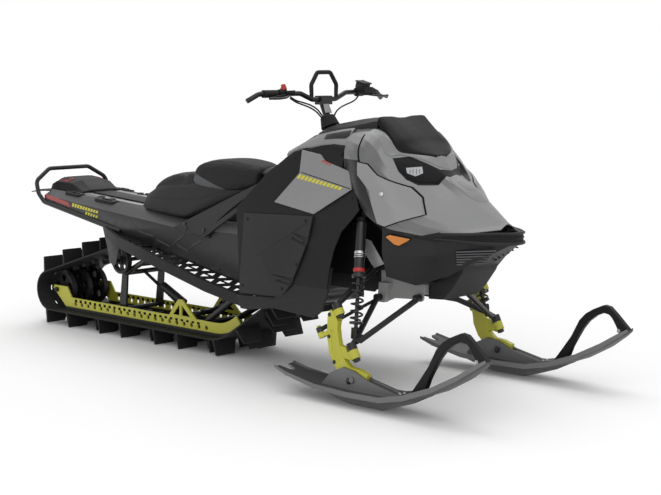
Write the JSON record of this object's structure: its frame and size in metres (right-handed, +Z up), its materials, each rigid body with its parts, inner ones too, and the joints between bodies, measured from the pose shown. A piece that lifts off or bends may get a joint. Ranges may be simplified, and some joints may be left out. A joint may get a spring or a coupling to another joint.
{
  "type": "snowmobile",
  "caption": "Mountain snowmobile with a long lugged track under a narrow tunnel, a short seat, a wedge nose and steered skis on wishbones.",
  "frame": {"origin": "on the floor under the middle of the whole length, on the centre plane", "axes": "+X towards the nose, +Y to the rider's left, +Z up"},
  "size_m": [3.337, 1.088, 1.329],
  "materials": {
    "track_rubber": "matte",
    "lime_paint": "satin",
    "runner_plastic": "matte",
    "wheel_plastic": "satin",
    "dark_sheet": "satin",
    "black_tube": "satin",
    "black_plastic": "matte",
    "grey_plastic": "satin",
    "red_lens": "gloss",
    "clear_lens": "gloss",
    "amber_lens": "gloss",
    "smoked_plastic": "gloss",
    "seat_cover": "matte",
    "cast_alloy": "cast",
    "black_metal": "gloss",
    "grip_rubber": "matte"
  },
  "bodies": {
    "chassis": {"track": "track_rubber", "snow_flap": "track_rubber", "slide_rails": "lime_paint", "rail_runners": "runner_plastic", "rear_axle": "wheel_plastic", "carrier_axle": "wheel_plastic", "drive_shaft": "wheel_plastic", "tunnel": "dark_sheet", "running_board_left": "dark_sheet", "running_board_right": "dark_sheet", "rear_bumper": "black_tube", "skid_arm_rear": "black_tube", "skid_arm_front": "black_tube", "frame_struts": "black_tube", "front_arms": "black_tube", "rear_cover": "black_plastic", "seat_base": "black_plastic", "console": "black_plastic", "instrument_cowl": "black_plastic", "side_body_left": "black_plastic", "side_body_right": "black_plastic", "lower_panel_left": "black_plastic", "lower_panel_right": "black_plastic", "toe_guard_left": "black_plastic", "toe_guard_right": "black_plastic", "nose_pan": "black_plastic", "nose_bumper": "black_plastic", "lamp_boxes": "black_plastic", "fuel_tank": "black_plastic", "hood": "grey_plastic", "side_pods": "grey_plastic", "upper_panel_left": "grey_plastic", "upper_panel_right": "grey_plastic", "rear_lamps": "red_lens", "headlamps": "clear_lens", "marker_lamps": "amber_lens", "windshield": "smoked_plastic", "seat": "seat_cover", "bulkhead": "cast_alloy", "engine": "cast_alloy", "front_shocks": "black_metal", "front_springs": "black_metal"},
    "steering": {"steering_post": "black_tube", "handlebar": "black_tube", "grips": "grip_rubber", "bar_controls": "black_plastic", "bar_strap": "grip_rubber"},
    "crank": {"steering_crank": "black_tube"},
    "front_left": {"spindle_left": "lime_paint", "ski_left": "grey_plastic", "ski_handle_left": "black_plastic"},
    "front_right": {"spindle_right": "lime_paint", "ski_right": "grey_plastic", "ski_handle_right": "black_plastic"},
    "rod_left": {"tie_rod_left": "black_tube"},
    "rod_right": {"tie_rod_right": "black_tube"}
  },
  "joints": [
    {"name": "steering_turn", "type": "hinge", "parent": "chassis", "child": "steering", "pos_m": [0.384, 0, 1.091], "axis": [-0.4226, 0, 0.9063], "range_deg": [-36, 36]},
    {"name": "ski_turn_left", "type": "hinge", "parent": "chassis", "child": "front_left", "pos_m": [0.97, 0.46, 0.213], "axis": [-0.4633, 0, 0.8862], "range_deg": [-30, 30]},
    {"name": "ski_turn_right", "type": "hinge", "parent": "chassis", "child": "front_right", "pos_m": [0.97, -0.46, 0.213], "axis": [-0.4633, 0, 0.8862], "range_deg": [-30, 30]},
    {"name": "crank_turn", "type": "hinge", "parent": "chassis", "child": "crank", "pos_m": [0.88134, 0, 0.4496], "axis": [-0.4633, 0, 0.8862], "range_deg": [-30, 30]},
    {"name": "rod_turn_left", "type": "hinge", "parent": "front_left", "child": "rod_left", "pos_m": [0.79787, 0.48, 0.28325], "axis": [-0.4633, 0, 0.8862], "range_deg": [-30, 30]},
    {"name": "rod_turn_right", "type": "hinge", "parent": "front_right", "child": "rod_right", "pos_m": [0.79787, -0.48, 0.28325], "axis": [-0.4633, 0, 0.8862], "range_deg": [-30, 30]}
  ],
  "couplings": [
    {"joint": "ski_turn_left", "follows": "steering_turn", "ratio": 0.83333},
    {"joint": "ski_turn_right", "follows": "steering_turn", "ratio": 0.83333},
    {"joint": "crank_turn", "follows": "steering_turn", "ratio": 0.83333},
    {"joint": "rod_turn_left", "follows": "steering_turn", "ratio": -0.83333},
    {"joint": "rod_turn_right", "follows": "steering_turn", "ratio": -0.83333}
  ]
}
